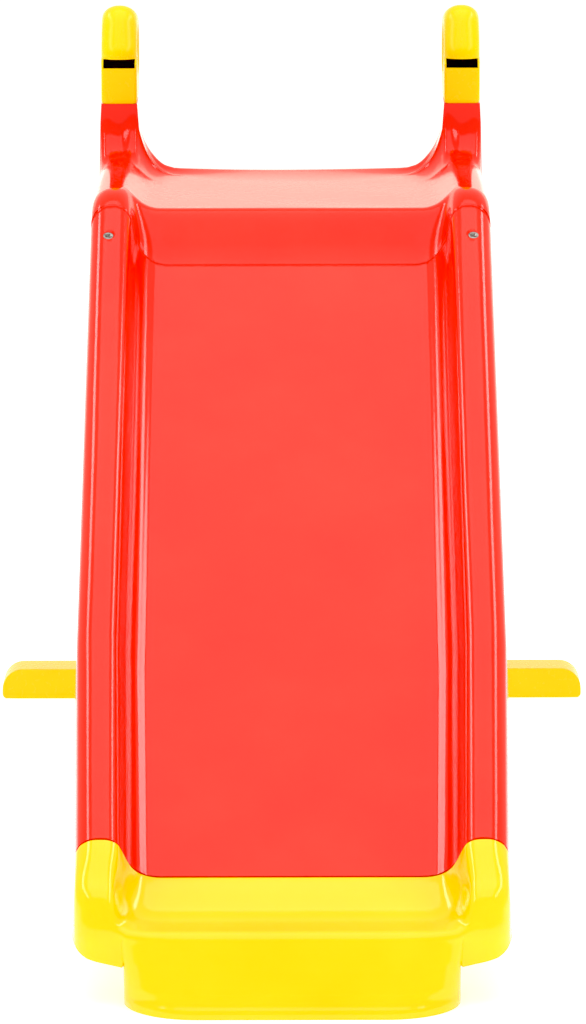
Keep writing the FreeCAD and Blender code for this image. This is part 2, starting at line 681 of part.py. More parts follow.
def bar_block(inset, bottom):
    """The foot bar as a solid with rounded upper corners, set in all round by inset."""
    half, top = BAR_LENGTH / 2 - inset, BAR_HEIGHT - inset
    outline = [(-half, bottom), (-half, top), (half, top), (half, bottom)]
    rounds = [BAR_ROUND - inset] * 2
    face = solid_face(outline, rounds, lambda x, z: at(x, LENGTH - inset, z))
    return face.extrude(FORWARD * (BAR_DEPTH - 2 * inset))


def foot_bar():
    """The wide bar on the floor, open underneath, with sockets that the posts stand in."""
    solid = bar_block(0, 0)
    edges = [edge for edge in solid.Edges if edge.BoundBox.YLength < 0.01 and edge.BoundBox.ZMax > 1]
    solid = solid.makeFillet(BAR_EDGE_ROUND, edges)
    return solid.cut([bar_block(WALL, -1)] + foot_sockets())


def foot_sockets():
    """The holes in the foot bar for the posts and for the screws that hold them."""
    post = post_block(-GAP)
    screw = foot_screw_hole()
    return [post, mirrored(post), screw, mirrored(screw)]


def foot_screw():
    return flat_screw(foot_screw_top(), FORWARD, FOOT_SCREW_LENGTH)


def nodes():
    """Every piece of the slide under its name."""
    pieces = {
        "platform_section": platform_section(),
        "chute_section": chute_section(),
        "exit_section": exit_section(),
        "foot_bar": foot_bar(),
        "rail_screws": pair(rail_screw()),
        "exit_screws": exit_screws(),
        "handle_screws": pair(handle_screw()),
        "ladder_bolts": pair(Part.makeCompound([ladder_bolt(z) for z in LADDER_BOLT_HEIGHTS])),
        "ladder_nuts": pair(Part.makeCompound([ladder_nut(z) for z in LADDER_BOLT_HEIGHTS])),
        "foot_screws": pair(foot_screw()),
    }
    for name, shape in (("ladder_side", ladder_side()), ("handle", handle()),
                        ("handle_insert", handle_insert()), ("tread_screws", tread_screws())):
        pieces[name + "_right"] = shape
        pieces[name + "_left"] = mirrored(shape)
    for name, top in TREAD_TOPS.items():
        pieces["tread_" + name] = tread(top)
    return pieces


os.makedirs("parts", exist_ok=True)
for node, shape in nodes().items():
    shape.exportStep("parts/" + node + ".step")
    print(node, len(shape.Solids), round(shape.Volume / 1000, 1), shape.isValid(), shape.BoundBox)
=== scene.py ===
import json
import math

import bmesh
import bpy
from mathutils import Matrix, Vector, noise


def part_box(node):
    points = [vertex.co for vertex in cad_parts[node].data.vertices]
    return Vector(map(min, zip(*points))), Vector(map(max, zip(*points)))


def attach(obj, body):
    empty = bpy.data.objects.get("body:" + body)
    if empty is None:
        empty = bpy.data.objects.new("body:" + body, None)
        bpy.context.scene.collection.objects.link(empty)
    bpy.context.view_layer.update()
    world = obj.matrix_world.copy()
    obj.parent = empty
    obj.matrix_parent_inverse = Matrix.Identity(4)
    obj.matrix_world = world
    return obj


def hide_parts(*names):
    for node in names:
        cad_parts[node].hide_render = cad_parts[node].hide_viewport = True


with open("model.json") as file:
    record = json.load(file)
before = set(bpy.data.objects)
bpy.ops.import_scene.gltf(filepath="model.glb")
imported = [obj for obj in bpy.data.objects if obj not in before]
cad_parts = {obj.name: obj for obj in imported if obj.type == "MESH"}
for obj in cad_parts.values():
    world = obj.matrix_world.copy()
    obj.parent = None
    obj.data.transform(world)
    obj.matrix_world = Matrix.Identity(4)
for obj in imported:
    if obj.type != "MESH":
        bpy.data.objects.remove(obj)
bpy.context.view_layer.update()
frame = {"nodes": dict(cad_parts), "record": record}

# Metres. Y runs from the exit (low) to the foot bar (high), Z is up, X = 0 is the middle.
# The lip is the front edge of the exit.
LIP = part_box("exit_section")[0].y
WALL = 0.0035
GAP = 0.0003
UNDER_LAP = WALL + GAP      # how far the parts under a lap lie below the chute's skin
WAVE_HEIGHT = 0.0006
WAVE_LENGTH = 0.12

# The chute's section, square to the bed
chute_low, chute_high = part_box("chute_section")
RAIL_HEIGHT = 0.0485
SKIRT_DROP = 0.028
TAPER = 0.0055
TAPER_LENGTH = 0.250
BED_RISE = 0.444            # of the bed, over BED_RUN on the floor
BED_RUN = 0.695
SLOPE = math.atan2(BED_RISE, BED_RUN)
UPHILL = Vector((0, math.cos(SLOPE), math.sin(SLOPE)))
BED_NORMAL = Vector((0, -math.sin(SLOPE), math.cos(SLOPE)))
BED_START = Vector((0, chute_low.y + RAIL_HEIGHT * math.sin(SLOPE),
                    chute_low.z + SKIRT_DROP * math.cos(SLOPE)))
UPPER_SEAM = chute_high.y
SKIRT_HALF = chute_high.x
DRAFT = 0.0035              # how much the skirt flares below the rail
RAIL_HALF = SKIRT_HALF - DRAFT
RAIL_INNER = 0.1595
BED_HALF = 0.144
RAIL_PATH = [(-SKIRT_HALF, -SKIRT_DROP), (-RAIL_HALF, RAIL_HEIGHT),
             (-RAIL_INNER, RAIL_HEIGHT), (-BED_HALF, 0)]
RAIL_ROUNDS = [0.020, 0.016]
BED_ROUND = 0.032

# The platform
INSERT_SINK = 0.003         # the fronts of the black inserts, a painted shadow filling each slot, lie this far behind the horns' fronts
HORN_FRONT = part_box("handle_insert_right")[0].y - INSERT_SINK
HORN_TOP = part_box("platform_section")[1].z
HORN_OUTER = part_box("handle_right")[1].x
HORN_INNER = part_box("handle_right")[0].x
HORN_CENTRE = (HORN_OUTER + HORN_INNER) / 2
HORN_DEPTH = 0.053
HORN_BACK = HORN_FRONT + HORN_DEPTH
DECK_FRONT = LIP + 0.858
DECK_BACK = LIP + 1.140
DECK_HEIGHT = 0.588
DECK_RAIL = 0.609
LEVEL_START = LIP + 0.900   # behind this the deck's section no longer changes

# The handles
insert_low, insert_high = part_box("handle_insert_right")
handle_low, handle_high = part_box("handle_right")


def on_slope(x, along, above):
    """A point along the bed from its lower seam, and above it square to the bed."""
    return Vector((x, 0, 0)) + BED_START + UPHILL * along + BED_NORMAL * above


def narrowing(along):
    """How much narrower each side of the chute is towards the exit."""
    return TAPER * max(1 - along / TAPER_LENGTH, 0)


def narrowed(path, amount):
    return [(x - math.copysign(amount, x), above) for x, above in path]


def mix(a, b, share):
    return a + (b - a) * share


def smooth(value, low, high):
    """0 below low, 1 above high, with a soft step between."""
    share = min(max((value - low) / (high - low), 0.0), 1.0)
    return share * share * (3 - 2 * share)


# ---------------------------------------------------------------- outlines

def offset_outline(points, depth):
    """The same open outline, moved to the right of its travel."""
    lines = []
    for (a, b), (c, d) in zip(points, points[1:]):
        length = math.hypot(c - a, d - b)
        along = ((c - a) / length, (d - b) / length)
        lines.append(((a + along[1] * depth, b - along[0] * depth), along))
    moved = [lines[0][0]]
    for (p, u), (q, v) in zip(lines, lines[1:]):
        turn = u[0] * v[1] - u[1] * v[0]
        reach = ((q[0] - p[0]) * v[1] - (q[1] - p[1]) * v[0]) / turn
        moved.append((p[0] + u[0] * reach, p[1] + u[1] * reach))
    last = lines[-1][1]
    moved.append((points[-1][0] + last[1] * depth, points[-1][1] - last[0] * depth))
    return moved


def rounded(points, rounds, straight_steps, round_steps):
    """Points along an open outline with rounded corners. The count depends only on the steps."""
    path = []
    start = Vector(points[0])
    corners = list(zip(points, points[1:], points[2:], rounds, straight_steps, round_steps))
    for before, corner, after, radius, steps, turns in corners:
        corner = Vector(corner)
        arrive = (corner - Vector(before)).normalized()
        leave = (Vector(after) - corner).normalized()
        half = arrive.angle(leave) / 2
        reach = radius * math.tan(half)
        first, last = corner - arrive * reach, corner + leave * reach
        path += [start.lerp(first, step / steps) for step in range(steps)]
        side = Vector((-arrive.y, arrive.x))
        turn = 1 if side.dot(leave) > 0 else -1
        centre = first + side * radius * turn
        for step in range(turns):
            spun = (first - centre).copy()
            spun.rotate(Matrix.Rotation(turn * 2 * half * step / turns, 2))
            path.append(centre + spun)
        start = last
    steps = straight_steps[-1]
    path += [start.lerp(Vector(points[-1]), step / steps) for step in range(steps + 1)]
    return path


def resampled(path, count):
    """The same polyline with count points, evenly spaced."""
    lengths = [0.0]
    for a, b in zip(path, path[1:]):
        lengths.append(lengths[-1] + (b - a).length)
    result, index = [], 0
    for step in range(count):
        target = lengths[-1] * step / (count - 1)
        while index < len(path) - 2 and lengths[index + 1] < target:
            index += 1
        span = lengths[index + 1] - lengths[index]
        result.append(path[index].lerp(path[index + 1], (target - lengths[index]) / span if span else 0))
    return result


# ---------------------------------------------------------------- mesh helpers

def new_piece(name, mesh, slot, material, *nodes):
    """An object that rides on the slide's body and stands for the CAD nodes."""
    piece = bpy.data.objects.new(name, mesh)
    bpy.context.scene.collection.objects.link(piece)
    mesh.materials.append(material)
    for face in mesh.polygons:
        face.use_smooth = True
    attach(piece, "root")
    if nodes:
        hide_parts(*nodes)
    return piece


def grid(bm, rows, closed=False):
    """Quads between neighbouring rows of points; closed joins each row's ends."""
    made = [[bm.verts.new(point) for point in row] for row in rows]
    for low, high in zip(made, made[1:]):
        count = len(low)
        for i in range(count if closed else count - 1):
            j = (i + 1) % count
            bm.faces.new((low[i], low[j], high[j], high[i]))
    return made


def finished_mesh(name, bm):
    bmesh.ops.remove_doubles(bm, verts=bm.verts, dist=0.00002)
    bmesh.ops.recalc_face_normals(bm, faces=bm.faces)
    mesh = bpy.data.meshes.new(name)
    bm.to_mesh(mesh)
    bm.free()
    return mesh


def shell(piece):
    """Gives a surface its moulded wall, with softened rims."""
    wall = piece.modifiers.new("wall", "SOLIDIFY")
    wall.thickness = WALL
    wall.offset = -1
    wall.use_quality_normals = True
    soften(piece, 0.0008)


def soften(piece, width):
    """Rounds the sharp edges a little, as a mould does."""
    bevel = piece.modifiers.new("soft_edges", "BEVEL")
    bevel.width = width
    bevel.segments = 2
    bevel.limit_method = "ANGLE"
    bevel.angle_limit = math.radians(45)
    bevel.harden_normals = True


def cut(piece, cutter, crossing=False):
    """Takes the cutter's shape out of the piece; crossing is for a cutter that meets itself."""
    hole = piece.modifiers.new("hole", "BOOLEAN")
    hole.operation = "DIFFERENCE"
    hole.solver = "EXACT"
    hole.use_self = crossing
    hole.object = cutter
    apply_modifiers(piece)
    bpy.data.objects.remove(cutter)


def apply_modifiers(piece):
    graph = bpy.context.evaluated_depsgraph_get()
    result = bpy.data.meshes.new_from_object(piece.evaluated_get(graph))
    piece.modifiers.clear()
    piece.data = result


def waviness(point):
    """The slight unevenness of a thick moulded wall."""
    return WAVE_HEIGHT * noise.noise(point / WAVE_LENGTH + Vector((3.0, 3.0, 3.0)))


# ---------------------------------------------------------------- materials

def plastic(name, colour, dark, light, roughness=0.11, shine=0.5):
    """Glossy moulded polyethylene: uneven pigment, orange peel, fine scuffs, paler sharp edges."""
    material = bpy.data.materials.new(name)
    material.use_nodes = True
    nodes, links = material.node_tree.nodes, material.node_tree.links
    shader = nodes["Principled BSDF"]
    shader.inputs["IOR"].default_value = 1.42
    shader.inputs["Specular IOR Level"].default_value = shine
    shader.inputs["Subsurface Weight"].default_value = 0.0
    place = nodes.new("ShaderNodeTexCoord").outputs["Object"]

    def cloud(scale, detail):
        texture = nodes.new("ShaderNodeTexNoise")
        texture.inputs["Scale"].default_value = scale
        texture.inputs["Detail"].default_value = detail
        links.new(place, texture.inputs["Vector"])
        return texture.outputs["Fac"]

    def ramp(source, stops):
        node = nodes.new("ShaderNodeValToRGB")
        links.new(source, node.inputs["Fac"])
        elements = node.color_ramp.elements
        while len(elements) < len(stops):
            elements.new(0.5)
        for element, (position, value) in zip(elements, stops):
            element.position = position
            element.color = (*value, 1) if isinstance(value, tuple) else (value, value, value, 1)
        return node.outputs["Color"]

    def bump(height, strength, distance, below=None):
        node = nodes.new("ShaderNodeBump")
        node.inputs["Strength"].default_value = strength
        node.inputs["Distance"].default_value = distance
        links.new(height, node.inputs["Height"])
        if below:
            links.new(below, node.inputs["Normal"])
        return node.outputs["Normal"]

    pigment = ramp(cloud(9.0, 4.0), [(0.30, dark), (0.50, colour), (0.72, light)])
    # Sharp convex edges are mixed towards the paler tone.
    edge = nodes.new("ShaderNodeNewGeometry").outputs["Pointiness"]
    edge_paling = ramp(edge, [(0.52, 0.0), (0.60, 0.22)])
    edge_paled = nodes.new("ShaderNodeMix")
    edge_paled.data_type = "RGBA"
    links.new(edge_paling, edge_paled.inputs["Factor"])
    links.new(pigment, edge_paled.inputs["A"])
    links.new(ramp(cloud(60.0, 2.0), [(0.3, colour), (0.7, light)]), edge_paled.inputs["B"])
    links.new(edge_paled.outputs["Result"], shader.inputs["Base Color"])

    scuffs = ramp(cloud(220.0, 6.0), [(0.40, roughness - 0.03), (0.75, roughness + 0.06)])
    links.new(scuffs, shader.inputs["Roughness"])
    peel = bump(cloud(900.0, 2.0), 0.03, 0.0003)
    links.new(bump(cloud(45.0, 1.0), 0.05, 0.0012, peel), shader.inputs["Normal"])
    return material


def zinc():
    """Bright zinc plate: fine brushed grain and cloudy roughness."""
    material = bpy.data.materials.new("zinc_plate")
    material.use_nodes = True
    nodes, links = material.node_tree.nodes, material.node_tree.links
    shader = nodes["Principled BSDF"]
    shader.inputs["Metallic"].default_value = 1.0
    place = nodes.new("ShaderNodeTexCoord").outputs["Object"]
    cloud = nodes.new("ShaderNodeTexNoise")
    cloud.inputs["Scale"].default_value = 400.0
    links.new(place, cloud.inputs["Vector"])
    tone = nodes.new("ShaderNodeValToRGB")
    tone.color_ramp.elements[0].color = (0.26, 0.25, 0.24, 1)
    tone.color_ramp.elements[1].color = (0.44, 0.43, 0.41, 1)
    links.new(cloud.outputs["Fac"], tone.inputs["Fac"])
    links.new(tone.outputs["Color"], shader.inputs["Base Color"])
    rough = nodes.new("ShaderNodeMapRange")
    rough.inputs["To Min"].default_value = 0.22
    rough.inputs["To Max"].default_value = 0.45
    links.new(cloud.outputs["Fac"], rough.inputs["Value"])
    links.new(rough.outputs["Result"], shader.inputs["Roughness"])
    return material


RED = plastic("red_polyethylene", (0.86, 0.021, 0.006), (0.84, 0.017, 0.005), (0.88, 0.027, 0.009))
YELLOW = plastic("yellow_polyethylene", (0.98, 0.71, 0.010), (0.97, 0.69, 0.008), (1.0, 0.74, 0.014))
# A darker, more orange copy of the yellow plastic: painted shade for the handles' shadowed faces and for the
# floor bar.
SHADED_YELLOW = plastic("yellow_polyethylene_painted_shade", (0.98, 0.655, 0.008), (0.97, 0.635, 0.006), (1.0, 0.685, 0.012),
                roughness=0.25, shine=0.3)
# Near-black for the handle inserts: painted shade standing for the deep shadow inside each handle's slot.
SLOT_SHADE_BLACK = plastic("black_plastic", (0.008, 0.002, 0.002), (0.006, 0.001, 0.001), (0.012, 0.004, 0.003),
                roughness=0.5, shine=0.2)
ZINC = zinc()


# ---------------------------------------------------------------- screws

def turned_cutter(name, top, axis, profile, segments=32):
    """A closed solid of revolution; profile lists (distance along axis, radius)."""
    bm = bmesh.new()
    turn = axis.to_track_quat("Z", "Y").to_matrix()
    rows = []
    for along, radius in profile:
        ring = [Vector((math.cos(t), math.sin(t), 0)) * radius for t in
                (2 * math.pi * i / segments for i in range(segments))]
        rows.append([top + axis * along + turn @ point for point in ring])
    made = grid(bm, rows, closed=True)
    bm.faces.new(made[0])
    bm.faces.new(made[-1])
    mesh = finished_mesh(name, bm)
    cutter = bpy.data.objects.new(name, mesh)
    bpy.context.scene.collection.objects.link(cutter)
    return cutter


HEAD = 0.005                # radius of a screw's head
SHANK = 0.0025              # radius of its shank
HEAD_SINK = 0.0010          # how far a head lies below the rail top
SCREW_LENGTH = 0.016
CROSS_TURN = 0.4            # how far the cross recess is turned
CROSS_HALF = 0.00055        # half the width of its arms


def rail_screw(side):
    """Where the screw through a rail top is, and the way it points."""
    low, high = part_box("rail_screws")
    middle_y = low.y + HEAD * math.cos(SLOPE)
    above = RAIL_HEIGHT - HEAD_SINK
    along = (middle_y - BED_START.y + above * math.sin(SLOPE)) / math.cos(SLOPE)
    return on_slope(side * (high.x - HEAD), along, above), -BED_NORMAL


def screw_dish(top, axis):
    """The cutter for a countersunk hole with a soft, wide mouth."""
    profile = [(-0.004, 0.0078), (-0.0008, 0.0070), (0.0, 0.0054),
               (0.0002, 0.0052), (0.0027, 0.0028), (0.012, 0.0028)]
    return turned_cutter("dish", top, axis, profile)


def flat_screws(node, places, length):
    """Countersunk screws with a cross recess, for a node that holds several alike."""
    bm = bmesh.new()
    for top, axis in places:
        profile = [(0.0, 0.0046), (0.0003, HEAD), (HEAD - SHANK, SHANK), (length, SHANK)]
        body = turned_cutter("screw", top, axis, profile)
        cut(body, cross_recess(top, axis), crossing=True)
        bm.from_mesh(body.data)
        bpy.data.objects.remove(body)
    new_piece(node.replace("screws", "flat_screws"), finished_mesh(node, bm), "zinc_steel", ZINC, node)


def cross_recess(top, axis):
    """Two crossed wedges, deeper in the middle."""
    bm = bmesh.new()
    turn = axis.to_track_quat("Z", "Y").to_matrix()
    for angle in (CROSS_TURN, CROSS_TURN + math.pi / 2):
        spin = turn @ Matrix.Rotation(angle, 3, "Z")
        outline = [(-0.0031, -0.001), (0.0031, -0.001), (0.0031, 0.0002),
                   (0.0012, 0.0019), (-0.0012, 0.0019), (-0.0031, 0.0002)]
        rows = [[top + spin @ Vector((u, side * CROSS_HALF, depth)) for u, depth in outline]
                for side in (-1, 1)]
        made = grid(bm, rows, closed=True)
        bm.faces.new(made[0])
        bm.faces.new(made[1])
    mesh = finished_mesh("recess", bm)
    cutter = bpy.data.objects.new("recess", mesh)
    bpy.context.scene.collection.objects.link(cutter)
    return cutter


# ---------------------------------------------------------------- chute

STRAIGHT = [6, 3, 5, 40, 5, 3, 6]
TURNS = [12, 10, 18, 18, 10, 12]
GROOVE = 0.1325             # from the middle to the line along each side of the bed
GROOVE_HALF = 0.0030
GROOVE_DEPTH = 0.0010
SEAM_LINE = 0.0030          # the sunk line's distance below the upper seam
SEAM_LINE_DEPTH = 0.0014
CHANNEL_PATH = RAIL_PATH + [(-x, above) for x, above in reversed(RAIL_PATH)]


def channel_section(along):
    """The chute's cross-section as points, at a distance up the slope."""
    rounds = RAIL_ROUNDS + [BED_ROUND] * 2 + RAIL_ROUNDS[::-1]
    return rounded(narrowed(CHANNEL_PATH, narrowing(along)), rounds, STRAIGHT, TURNS)


def bed_line(x, along):
    """The shallow line moulded along each side of the bed."""
    away = abs(x) - GROOVE + narrowing(along)
    return -GROOVE_DEPTH * (1 - smooth(abs(away), 0.0, GROOVE_HALF))


def hand_worked(x, along):
    """Slow ripples along the moulding, much longer than they are wide."""
    slow = noise.noise(Vector((x / 0.035, along / 0.30, 0.0)))
    fine = noise.noise(Vector((x / 0.016, along / 0.11, 7.0)))
    return 0.00045 * slow + 0.00012 * fine


def seam_line(to_seam):
    """The narrow sunk line moulded just below the upper seam."""
    return -SEAM_LINE_DEPTH * (1 - smooth(abs(to_seam - SEAM_LINE), 0.0003, 0.0018))


def chute():
    bm = bmesh.new()
    top = (UPPER_SEAM - BED_START.y) / math.cos(SLOPE)
    even = 118
    shares = [step / even for step in range(even)]
    shares += [1 - to_seam / top for to_seam in (0.006, 0.005, 0.0042, 0.0034, 0.0026, 0.0018, 0.0009, 0.0)]
    rows = []
    for share in shares:
        row = []
        for x, above in channel_section(top * share):
            along = (top + math.tan(SLOPE) * above) * share
            lift = bed_line(x, along) if above < 0.01 else 0
            lift += seam_line(top * (1 - share))
            lift += hand_worked(x, along) * smooth(share, 0, 0.04) * (1 - smooth(share, 0.96, 0.99))
            row.append(on_slope(x, along, above + lift))
        rows.append(row)
    grid(bm, rows)
    piece = new_piece("chute", finished_mesh("chute", bm), "red_plastic", RED, "chute_section")
    shell(piece)
    for side in (-1, 1):
        cut(piece, screw_dish(*rail_screw(side)))
    soften(piece, 0.0004)


# ---------------------------------------------------------------- platform

HORN_RISE = 0.050           # the sweep from the rail up to the front of the horn, at the horn's sides
HORN_RISE_MIDDLE = 0.034    # the same down the middle of the horn, whose flat front reaches lower
COVE = 0.042                # the hollow curve from the deck up to the horn's inner side
LEVEL_FOOT = 0.140
LEVEL_INNER = 0.1635
LEVEL_ROUND = 0.014         # the rail's inner shoulder beside the deck
PLATFORM_BOTTOM = 0.507

# Steps across half a section: flat, cove, wall, inner shoulder, rail top, outer shoulder, skirt
FLATS = [16, 6, 3, 8]
CURVES = [12, 8, 10]
CREST = sum(FLATS[:3]) + sum(CURVES[:2])


def yz(points):
    """Side-profile points from the lip as (y, z) in metres."""
    return [(LIP + y, z) for y, z in points]


def profile(points, rounds, count):
    """A smooth side profile as count evenly spaced points."""
    path = rounded(points, rounds, [12] * (len(points) - 1), [14] * (len(points) - 2))
    return resampled(path, count)


def section_across(foot, inner, outer, skirt, height, drop, rounds):
    """Half a cross-section: flat, cove, wall, rail, skirt, as (x, height) from the middle outwards."""
    points = [(0, 0), (foot, 0), (inner, height), (outer, height), (skirt, drop)]
    return rounded(points, rounds, FLATS, CURVES)


def spread(deck, rail, skirt, section):
    """A row of points across the right half: the section laid between deck, rail and skirt."""
    height, drop = section[CREST].y, section[-1].y
    row = []
    for index, (x, level) in enumerate(section):
        if index <= CREST:
            place = deck.lerp(rail, level / height)
        else:
            place = rail.lerp(skirt, (height - level) / (height - drop))
        row.append(Vector((x, place.x, place.y)))
    return row


def both_halves(row):
    return [Vector((-p.x, p.y, p.z)) for p in row[:0:-1]] + row


def sloping_rows():
    """From the seam, up the drop, onto the level deck."""
    seam = UPPER_SEAM + GAP
    end = LEVEL_START
    along = (seam - BED_START.y) / math.cos(SLOPE)
    bed = BED_START.z + along * math.sin(SLOPE)
    before, foot = on_slope(0, along - 0.001, -UNDER_LAP), on_slope(0, along + 0.010, -UNDER_LAP)
    rail_seam = bed + RAIL_HEIGHT / math.cos(SLOPE)
    knee = seam + (DECK_RAIL - rail_seam) / math.tan(SLOPE)
    count = 34
    drop = [(before.y, before.z), (foot.y, foot.z), (DECK_FRONT, DECK_HEIGHT), (end, DECK_HEIGHT)]
    decks = profile(drop, [0.040, 0.015], count)
    rails = profile([(seam, rail_seam), (knee, DECK_RAIL), (end, DECK_RAIL)], [0.065], count)
    skirt_z = bed - SKIRT_DROP / math.cos(SLOPE)
    skirts = profile([(seam, skirt_z), (LIP + 0.86, PLATFORM_BOTTOM), (end, PLATFORM_BOTTOM)], [0.02], count)
    rows = []
    for step, (deck, rail, skirt) in enumerate(zip(decks, rails, skirts)):
        level = smooth(step, 0, count - 1)
        foot_x, inner = mix(BED_HALF, LEVEL_FOOT, level), mix(RAIL_INNER, LEVEL_INNER, level)
        rounds = [BED_ROUND, mix(RAIL_ROUNDS[1], LEVEL_ROUND, level), RAIL_ROUNDS[0]]
        height, drop = rail.y - deck.y, skirt.y - deck.y
        section = section_across(foot_x, inner, RAIL_HALF, SKIRT_HALF, height, drop, rounds)
        rows.append(spread(deck, rail, skirt, section))
    return rows


def level_row(y):
    """A row across the level deck and its rails, which sweep up towards the horn."""
    height, drop = DECK_RAIL - DECK_HEIGHT, PLATFORM_BOTTOM - DECK_HEIGHT
    outer = mix(RAIL_HALF, HORN_OUTER, smooth(y, LIP + 0.95, HORN_FRONT))
    rounds = [BED_ROUND, LEVEL_ROUND, RAIL_ROUNDS[0]]
    section = section_across(LEVEL_FOOT, LEVEL_INNER, outer, outer + DRAFT, height, drop, rounds)
    row = [Vector((x, y, DECK_HEIGHT + level)) for x, level in section]
    for index, point in enumerate(row):
        fade = (point.z - DECK_HEIGHT - drop) / (height - drop) if index > CREST + CURVES[2] else 1
        radius = horn_rise(point.x)
        into = max(y - HORN_FRONT + radius, 0)
        point.z += (radius - math.sqrt(radius ** 2 - into ** 2)) * cove_share(point.x) * fade
    return row


def horn_rise(x):
    """Radius of the sweep up to the horn, larger towards the horn's sides."""
    half = (HORN_OUTER - HORN_INNER) / 2
    return mix(HORN_RISE_MIDDLE, HORN_RISE, smooth(abs(x - HORN_CENTRE), 0, half))


def cove_share(x):
    """How much of the sweep's height a place across the deck takes: a hollow curve up to the horn."""
    into = min(max(x - HORN_INNER + COVE, 0), COVE)
    return 1 - math.sqrt(COVE ** 2 - into ** 2) / COVE


def horn_row(front, share):
    """A row across the horn's top, its inner wall, the back of the deck and the outer wall."""
    row = []
    for index, point in enumerate(front):
        x, z = point.x, point.z
        back = DECK_BACK
        if index > CREST + CURVES[2]:
            down = (index - CREST - CURVES[2]) / (len(front) - 1 - CREST - CURVES[2])
            z = mix(HORN_TOP, PLATFORM_BOTTOM, down)
            back = HORN_BACK + 0.020 * smooth(HORN_TOP - z, 0.060, 0.066)
        elif x >= HORN_INNER - 0.0004:
            x, z = min(max(x, HORN_INNER), HORN_OUTER), HORN_TOP
            back = HORN_BACK
        row.append(Vector((x, mix(HORN_FRONT, back, share), z)))
    return row


def platform_rows():
    rows = sloping_rows()
    start = HORN_FRONT - HORN_RISE
    rows += [level_row(mix(LEVEL_START, start, step / 14)) for step in range(1, 15)]
    for step in range(1, 25):
        turn = math.pi / 2 * step / 24
        rows.append(level_row(mix(start, HORN_FRONT, math.sin(turn))))
    front = rows[-1]
    rows += [horn_row(front, step / 8) for step in range(9)]
    return rows


def platform():
    bm = bmesh.new()
    rows = [both_halves(row) for row in platform_rows()]
    for row in rows:
        for point in row:
            point.z += waviness(point) * deck_share(point)
            point.z += back_lip(point)
    made = grid(bm, rows)
    deck_flange(bm, made[-1])
    for side in (-1, 1):
        horn_web(bm, side)
    piece = new_piece("platform", finished_mesh("platform", bm), "red_plastic", RED, "platform_section")
    piece.data.set_sharp_from_angle(angle=math.radians(50))
    shell(piece)


def deck_share(point):
    """1 on the flat of the deck, 0 at its edges and beside it."""
    return (1 - smooth(abs(point.x), 0.10, 0.13)) * smooth(point.y, DECK_FRONT, DECK_FRONT + 0.03)


def back_lip(point):
    """The back of the deck rises to a lip, a little more at its sides."""
    side = min(abs(point.x) / 0.135, 1)
    reach = 0.012 + 0.063 * (1 - side * side)
    inside = 1 - smooth(abs(point.x), 0.138, 0.158)
    return (0.0028 + 0.0022 * side * side) * inside * max((point.y - DECK_BACK + reach) / reach, 0) ** 2


def deck_flange(bm, edge):
    """The deck's back edge turns down between the horns."""
    previous = [vert for vert in edge if abs(vert.co.x) < 0.150]
    count = len(previous)
    turned, straight = 4, 2
    start = [vert.co.copy() for vert in previous]
    for step in range(1, turned + straight + 1):
        turn = math.pi / 2 * min(step, turned) / turned
        extra = 0.012 * max(step - turned, 0)
        offset = Vector((0, 0.006 * math.sin(turn), -0.006 * (1 - math.cos(turn)) - extra))
        row = [bm.verts.new(co + offset) for co in start]
        for i in range(count - 1):
            bm.faces.new((previous[i], previous[i + 1], row[i + 1], row[i]))
        previous = row


def horn_web(bm, side):
    """The horn's inner wall below the deck, which the ladder bolts pass through."""
    x = side * (HORN_INNER + 0.001)
    rows = []
    for step in range(9):
        z = mix(PLATFORM_BOTTOM, DECK_HEIGHT - 0.004, step / 8)
        rows.append([Vector((x, mix(HORN_FRONT + 0.004, HORN_BACK + 0.018, i / 8), z)) for i in range(9)])
    grid(bm, rows)


# ---------------------------------------------------------------- exit

APRON_HALF = 0.147
APRON_CORNER = 0.065
APRON_EDGE = 0.068          # height of the run-out's front edge
SKIRT_LEVEL = 0.042         # where the apron parts from the rail ends
POD_CORNER = 0.026          # round of a rail end's front, seen from above
POD_UNDER_ROUND = 0.013     # round of a rail end's lower outer corner, seen from the front
POD_START = 0.166           # from the middle to where a rail end starts to curve back
POD_UNDER_START = 0.176     # from the middle to where its lower corner starts
POD_INNER_EDGE = 0.035      # height of a rail end's lower edge beside the apron
POD_OUTER_EDGE = 0.045      # and at its outer side
POD_WIDTH = 0.043
SEAM_STEP = 0.0015          # the exit comes up level with the chute within this distance
APRON_BACK = LIP + 0.125


def exit_profiles(count):
    """Side profiles of the run-out, of the rail top and of the rail ends' lower edge."""
    lap = 0.030
    start, joint = on_slope(0, lap, -UNDER_LAP), on_slope(0, -0.002, -UNDER_LAP)
    crest, skirt = on_slope(0, lap, RAIL_HEIGHT - UNDER_LAP), on_slope(0, lap, -SKIRT_DROP)
    flat, edge, low = yz([(0.072, 0.070), (0.036, APRON_EDGE), (0.0195, SKIRT_LEVEL)])
    nose, face, under = yz([(0.048, 0.0985), (0.0375, 0.068), (0.0443, SKIRT_LEVEL)])
    middle, end = yz([(0.110, 0.069), (0.0575, 0.0533)])
    deck = profile([(start.y, start.z), (joint.y, joint.z), flat, edge, low], [0.05, 0.06, 0.012], count)
    rail = profile([(crest.y, crest.z), nose, face, under], [0.030, 0.030], count)
    side = profile([(skirt.y, skirt.z), middle, end], [0.05], count)
    return deck, rail, side


def corner_back(x, z):
    """How far the apron's front curves back at its corners, most at the floor."""
    past = min(max(abs(x) - (APRON_HALF - APRON_CORNER), 0), APRON_CORNER)
    curve = APRON_CORNER - math.sqrt(APRON_CORNER ** 2 - past ** 2)
    return curve * min(max((APRON_EDGE - z) / APRON_EDGE, 0), 1)


def pod_corner_back(x):
    """How far the front of a rail end curves back at its outer corner."""
    past = min(max(x - POD_START, 0), POD_CORNER)
    return POD_CORNER - math.sqrt(POD_CORNER ** 2 - past ** 2)


